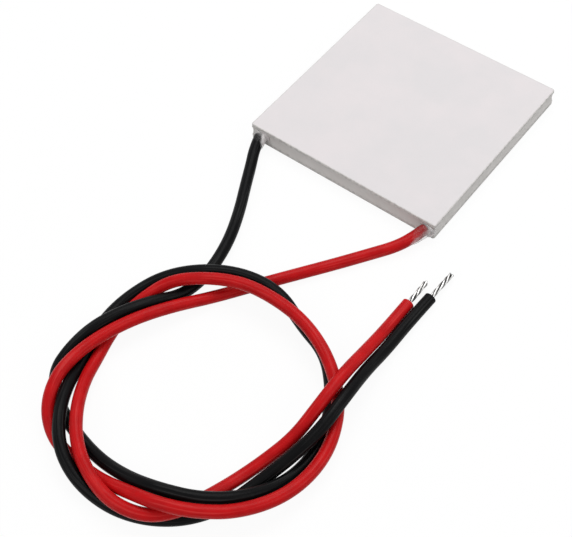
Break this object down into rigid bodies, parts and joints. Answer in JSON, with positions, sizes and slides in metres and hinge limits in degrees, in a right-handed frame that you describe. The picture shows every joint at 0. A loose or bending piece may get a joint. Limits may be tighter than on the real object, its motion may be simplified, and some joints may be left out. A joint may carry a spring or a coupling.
{
  "type": "thermoelectric cooling module",
  "caption": "Flat square ceramic plates around a series array of semiconductor pellets, with a sealed edge and red and black leads; pumps heat from one face to the other.",
  "frame": {"origin": "centre of the hot face, on the underside of the lower ceramic plate", "axes": "+Z out of the cold face, -Y towards the side where the leads leave, the red lead at +X"},
  "size_m": [0.0519, 0.1126, 0.0067],
  "materials": {
    "alumina": "matt, unglazed white",
    "copper": "bright copper",
    "p_type_semiconductor": "dull grey",
    "n_type_semiconductor": "dull grey",
    "silicone": "satin white silicone",
    "red_insulation": "satin red",
    "black_insulation": "satin black",
    "tinned_copper": "bright tinned strands",
    "solder": "smooth solder",
    "clear_sealant": "clear and glossy"
  },
  "bodies": {
    "root": {"cold_side_ceramic": "alumina", "hot_side_ceramic": "alumina", "cold_side_tabs": "copper", "hot_side_tabs": "copper", "positive_terminal_tab": "copper", "negative_terminal_tab": "copper", "p_type_pellets": "p_type_semiconductor", "n_type_pellets": "n_type_semiconductor", "edge_seal": "silicone", "red_lead": "red_insulation", "black_lead": "black_insulation", "red_lead_core": "tinned_copper", "black_lead_core": "tinned_copper", "red_lead_tip": "tinned_copper", "black_lead_tip": "tinned_copper", "red_solder_joint": "solder", "black_solder_joint": "solder", "red_exit_sealant": "clear_sealant", "black_exit_sealant": "clear_sealant"}
  },
  "joints": []
}
